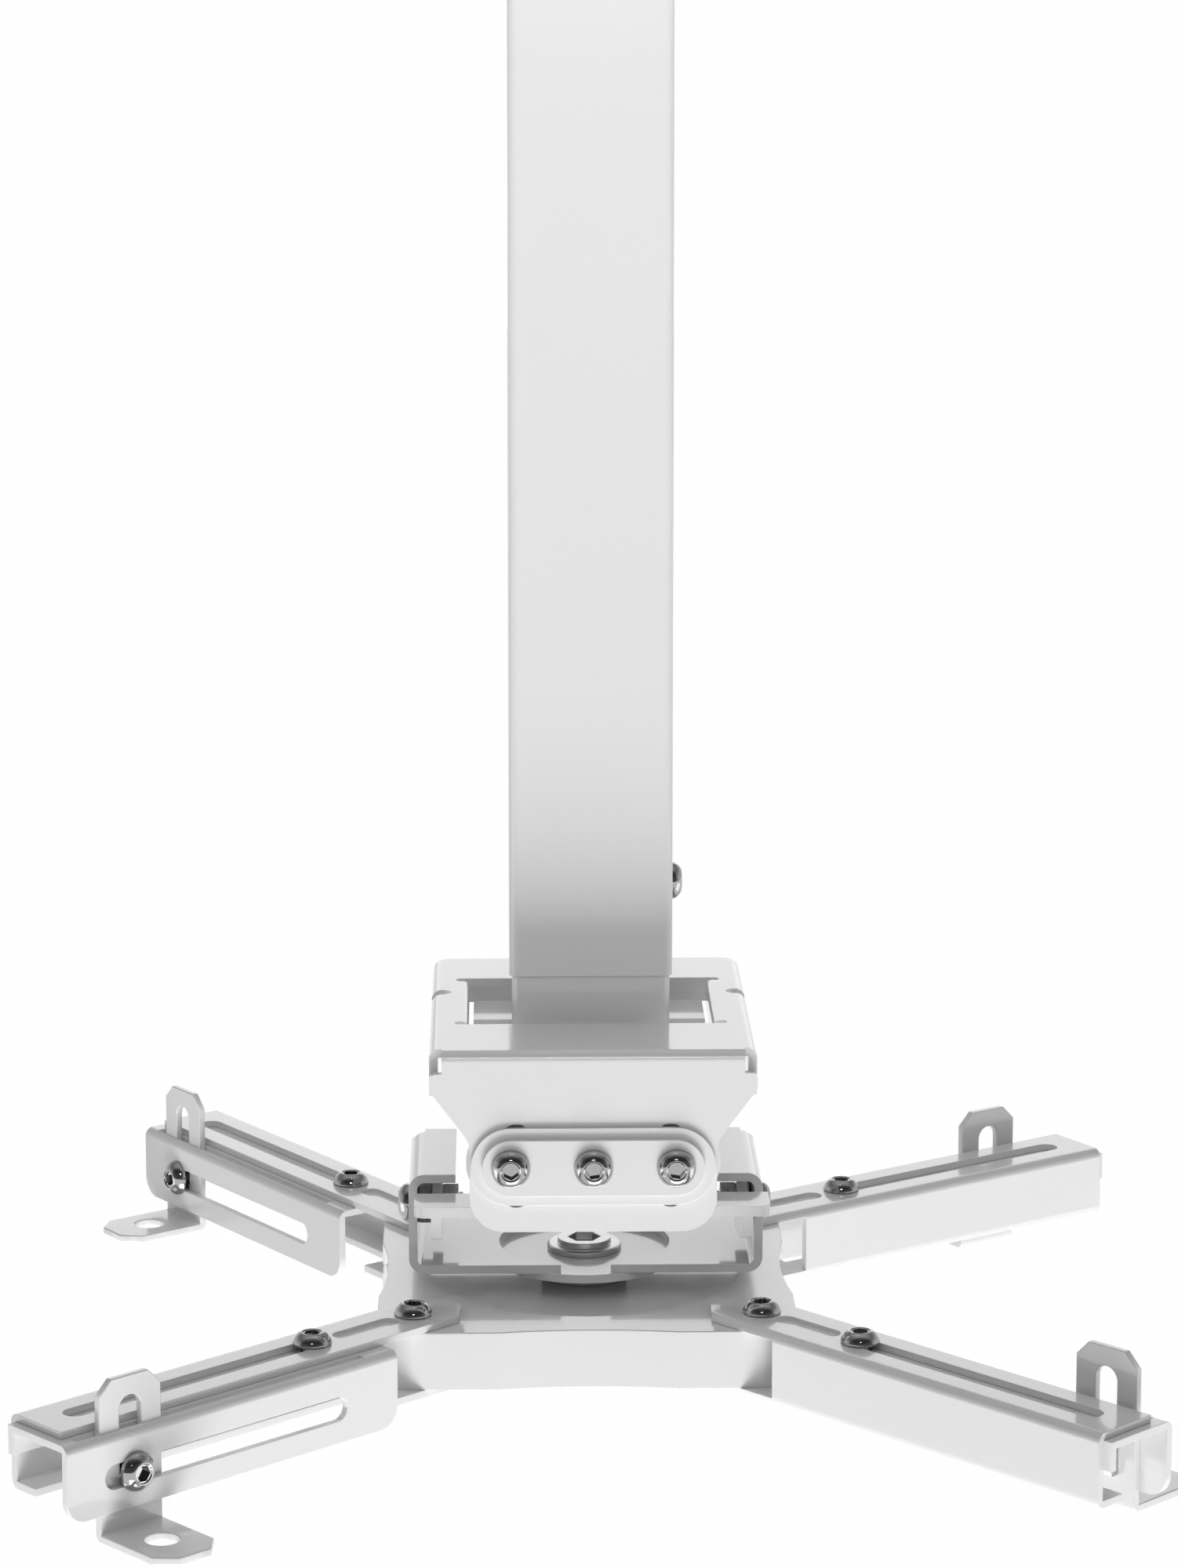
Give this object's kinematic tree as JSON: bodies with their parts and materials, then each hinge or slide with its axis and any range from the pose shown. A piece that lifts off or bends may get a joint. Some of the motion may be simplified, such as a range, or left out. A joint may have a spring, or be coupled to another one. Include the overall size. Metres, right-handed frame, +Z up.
{
  "type": "projector ceiling mount",
  "caption": "Ceiling mount for a projector: square column, rolling, pitching and panning head, and telescopic arms with height-adjustable feet.",
  "frame": {"origin": "centre of the ceiling plate's top face", "axes": "+Z up into the ceiling, -Y the front with the roll clamp, +X to the right"},
  "size_m": [0.3108, 0.3109, 0.4225],
  "materials": {
    "white_coat": "gloss",
    "bright_screw": "polished",
    "zinc_nut": "satin",
    "slide_washer": "matte"
  },
  "bodies": {
    "column": {"ceiling_plate": "white_coat", "column_tube": "white_coat", "column_screw": "bright_screw", "saddle": "white_coat", "roll_clamp_plate": "white_coat", "roll_nut_bar": "zinc_nut", "roll_screw_1": "bright_screw", "roll_screw_2": "bright_screw", "roll_screw_3": "bright_screw"},
    "housing": {"tilt_housing": "white_coat", "tilt_ledge": "white_coat", "pitch_screw_left": "bright_screw", "pitch_screw_right": "bright_screw", "pitch_spacer_left": "zinc_nut", "pitch_spacer_right": "zinc_nut", "pitch_nut_left": "zinc_nut", "pitch_nut_right": "zinc_nut"},
    "tray": {"yoke_tray": "white_coat", "pan_screw": "bright_screw", "pan_washer": "slide_washer", "pan_nut": "zinc_nut"},
    "hub": {"hub_plate": "white_coat", "pivot_screw_nl": "bright_screw", "pivot_nut_nl": "zinc_nut", "pivot_screw_nr": "bright_screw", "pivot_nut_nr": "zinc_nut", "pivot_screw_fl": "bright_screw", "pivot_nut_fl": "zinc_nut", "pivot_screw_fr": "bright_screw", "pivot_nut_fr": "zinc_nut"},
    "arm_near_left": {"arm_channel_nl": "white_coat"},
    "slider_near_left": {"arm_slider_nl": "white_coat", "slide_screw_nl": "bright_screw", "slide_nut_nl": "zinc_nut"},
    "clamp_near_left": {"foot_screw_nl": "bright_screw", "foot_nut_nl": "zinc_nut"},
    "foot_near_left": {"arm_foot_nl": "white_coat"},
    "arm_near_right": {"arm_channel_nr": "white_coat"},
    "slider_near_right": {"arm_slider_nr": "white_coat", "slide_screw_nr": "bright_screw", "slide_nut_nr": "zinc_nut"},
    "clamp_near_right": {"foot_screw_nr": "bright_screw", "foot_nut_nr": "zinc_nut"},
    "foot_near_right": {"arm_foot_nr": "white_coat"},
    "arm_far_left": {"arm_channel_fl": "white_coat"},
    "slider_far_left": {"arm_slider_fl": "white_coat", "slide_screw_fl": "bright_screw", "slide_nut_fl": "zinc_nut"},
    "clamp_far_left": {"foot_screw_fl": "bright_screw", "foot_nut_fl": "zinc_nut"},
    "foot_far_left": {"arm_foot_fl": "white_coat"},
    "arm_far_right": {"arm_channel_fr": "white_coat"},
    "slider_far_right": {"arm_slider_fr": "white_coat", "slide_screw_fr": "bright_screw", "slide_nut_fr": "zinc_nut"},
    "clamp_far_right": {"foot_screw_fr": "bright_screw", "foot_nut_fr": "zinc_nut"},
    "foot_far_right": {"arm_foot_fr": "white_coat"}
  },
  "joints": [
    {"name": "roll", "type": "hinge", "parent": "column", "child": "housing", "pos_m": [0, -0.054, -0.3475], "axis": [0, 1, 0], "range_deg": [-15, 15]},
    {"name": "pitch", "type": "hinge", "parent": "housing", "child": "tray", "pos_m": [0, 0, -0.374], "axis": [1, 0, 0], "range_deg": [-15, 15]},
    {"name": "pan", "type": "hinge", "parent": "tray", "child": "hub", "pos_m": [-0.0014, 0, -0.396], "axis": [0, 0, 1], "continuous": true},
    {"name": "swivel_near_left", "type": "hinge", "parent": "hub", "child": "arm_near_left", "pos_m": [-0.0489, -0.0475, -0.3915], "axis": [0, 0, 1], "range_deg": [-20, 20]},
    {"name": "extend_near_left", "type": "slide", "parent": "arm_near_left", "child": "slider_near_left", "axis": [-0.7408, -0.6717, 0], "range_m": [0, 0.076]},
    {"name": "travel_near_left", "type": "slide", "parent": "slider_near_left", "child": "clamp_near_left", "axis": [-0.7408, -0.6717, 0], "range_m": [-0.0672, 0.0062]},
    {"name": "height_near_left", "type": "slide", "parent": "clamp_near_left", "child": "foot_near_left", "axis": [0, 0, 1], "range_m": [-0.016, 0.0035]},
    {"name": "swivel_near_right", "type": "hinge", "parent": "hub", "child": "arm_near_right", "pos_m": [0.0461, -0.0475, -0.3915], "axis": [0, 0, 1], "range_deg": [-20, 20]},
    {"name": "extend_near_right", "type": "slide", "parent": "arm_near_right", "child": "slider_near_right", "axis": [0.6921, -0.7218, 0], "range_m": [0, 0.076]},
    {"name": "travel_near_right", "type": "slide", "parent": "slider_near_right", "child": "clamp_near_right", "axis": [0.6921, -0.7218, 0], "range_m": [-0.0707, 0.0027]},
    {"name": "height_near_right", "type": "slide", "parent": "clamp_near_right", "child": "foot_near_right", "axis": [0, 0, 1], "range_m": [-0.0185, 0.001]},
    {"name": "swivel_far_left", "type": "hinge", "parent": "hub", "child": "arm_far_left", "pos_m": [-0.0489, 0.0475, -0.3915], "axis": [0, 0, 1], "range_deg": [-20, 20]},
    {"name": "extend_far_left", "type": "slide", "parent": "arm_far_left", "child": "slider_far_left", "axis": [-0.575, 0.8181, 0], "range_m": [0, 0.076]},
    {"name": "travel_far_left", "type": "slide", "parent": "slider_far_left", "child": "clamp_far_left", "axis": [-0.575, 0.8181, 0], "range_m": [-0.0702, 0.0032]},
    {"name": "height_far_left", "type": "slide", "parent": "clamp_far_left", "child": "foot_far_left", "axis": [0, 0, 1], "range_m": [-0.0185, 0.001]},
    {"name": "swivel_far_right", "type": "hinge", "parent": "hub", "child": "arm_far_right", "pos_m": [0.0461, 0.0475, -0.3915], "axis": [0, 0, 1], "range_deg": [-20, 20]},
    {"name": "extend_far_right", "type": "slide", "parent": "arm_far_right", "child": "slider_far_right", "axis": [0.8368, 0.5476, 0], "range_m": [0, 0.076]},
    {"name": "travel_far_right", "type": "slide", "parent": "slider_far_right", "child": "clamp_far_right", "axis": [0.8368, 0.5476, 0], "range_m": [-0.0607, 0.0127]},
    {"name": "height_far_right", "type": "slide", "parent": "clamp_far_right", "child": "foot_far_right", "axis": [0, 0, 1], "range_m": [-0.016, 0.0035]}
  ]
}
